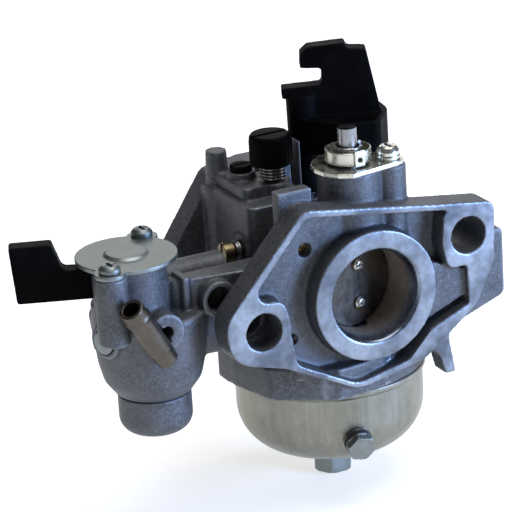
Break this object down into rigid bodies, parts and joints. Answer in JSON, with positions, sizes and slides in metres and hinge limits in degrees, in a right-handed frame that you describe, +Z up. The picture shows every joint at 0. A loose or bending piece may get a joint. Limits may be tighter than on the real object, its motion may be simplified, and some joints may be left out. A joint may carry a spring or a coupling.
{
  "type": "carburetor",
  "caption": "Float-bowl carburetor for a small engine, with a fuel cock, sediment cup, choke and throttle on upright shafts, and a moulded governor lever.",
  "frame": {"origin": "centre of the bore on the inlet (air cleaner) face", "axes": "+X right along the stud line seen from the inlet, +Y down the bore from inlet to outlet, +Z up along the two valve shafts"},
  "size_m": [0.1345, 0.0609, 0.1225],
  "materials": {
    "cast_alloy": "grey die casting, fine grain, machined on the flange faces and in the bore",
    "bowl_steel": "pressed steel, dull zinc plate",
    "plated_steel": "bright zinc plate",
    "shaft_steel": "turned steel",
    "spring_steel": "drawn wire",
    "brass": "turned brass",
    "tube_brass": "brass tube, dull and darkened",
    "black_plastic": "moulded black plastic",
    "float_plastic": "closed-cell float moulding",
    "rubber": "oil-resistant rubber",
    "gasket_fibre": "gasket material"
  },
  "bodies": {
    "carburetor": {"carburetor_body": "cast_alloy", "float_bowl": "bowl_steel", "bowl_gasket": "rubber", "bowl_bolt_washer": "gasket_fibre", "bowl_bolt": "plated_steel", "drain_washer": "gasket_fibre", "drain_bolt": "plated_steel", "float_pin": "shaft_steel", "needle_seat": "brass", "main_jet": "brass", "main_nozzle": "brass", "pilot_jet": "black_plastic", "pilot_air_jet": "brass", "choke_seal": "rubber", "choke_stop_plate": "plated_steel", "choke_stop_screw": "plated_steel", "choke_spring": "spring_steel", "throttle_seal": "rubber", "stop_screw_spring": "spring_steel", "mixture_screw_spring": "spring_steel", "valve_gasket": "rubber", "lever_spring": "spring_steel", "lever_plate": "plated_steel", "lever_plate_screws": "plated_steel", "sediment_cup": "cast_alloy", "cup_seal": "rubber", "fuel_strainer": "gasket_fibre", "fuel_inlet_tube": "tube_brass", "passage_plug": "plated_steel"},
    "throttle": {"throttle_shaft": "shaft_steel", "throttle_plate": "brass", "throttle_plate_screws": "brass", "throttle_lever": "black_plastic"},
    "choke": {"choke_shaft": "shaft_steel", "choke_plate": "plated_steel", "choke_plate_screws": "brass", "choke_lever": "plated_steel"},
    "fuel_tap": {"fuel_lever": "black_plastic"},
    "float_arm": {"float": "float_plastic"},
    "needle": {"float_needle": "brass"},
    "stop_screw": {"throttle_stop_knob": "black_plastic", "throttle_stop_screw": "plated_steel"},
    "idle_screw": {"mixture_screw": "brass"}
  },
  "joints": [
    {"name": "throttle_turn", "type": "hinge", "parent": "carburetor", "child": "throttle", "pos_m": [0, 0.0387, 0], "axis": [0, 0, 1], "range_deg": [0, 80]},
    {"name": "choke_turn", "type": "hinge", "parent": "carburetor", "child": "choke", "pos_m": [0, 0.0126, 0], "axis": [0, 0, 1], "range_deg": [0, 70], "stiffness_Nm_per_rad": 0.01, "springref_deg": -22.92},
    {"name": "fuel_lever_turn", "type": "hinge", "parent": "carburetor", "child": "fuel_tap", "pos_m": [-0.063, 0.02, 0], "axis": [0, 0, 1], "range_deg": [-70, 0]},
    {"name": "float_swing", "type": "hinge", "parent": "carburetor", "child": "float_arm", "pos_m": [0, 0.0522, -0.0255], "axis": [1, 0, 0], "range_deg": [-5, 0]},
    {"name": "needle_lift", "type": "slide", "parent": "carburetor", "child": "needle", "axis": [0, 0, -1], "range_m": [-0.0006, 0]},
    {"name": "stop_screw_turn", "type": "hinge", "parent": "carburetor", "child": "stop_screw", "pos_m": [-0.0124, 0.034, 0], "axis": [0, 0, 1], "range_deg": [-180, 180]},
    {"name": "idle_screw_turn", "type": "hinge", "parent": "carburetor", "child": "idle_screw", "pos_m": [-0.029, 0.03, 0.0096], "axis": [1, 0, 0], "range_deg": [-180, 180]}
  ],
  "couplings": [
    {"joint": "needle_lift", "follows": "float_swing", "m_per_rad": 0.0054}
  ]
}
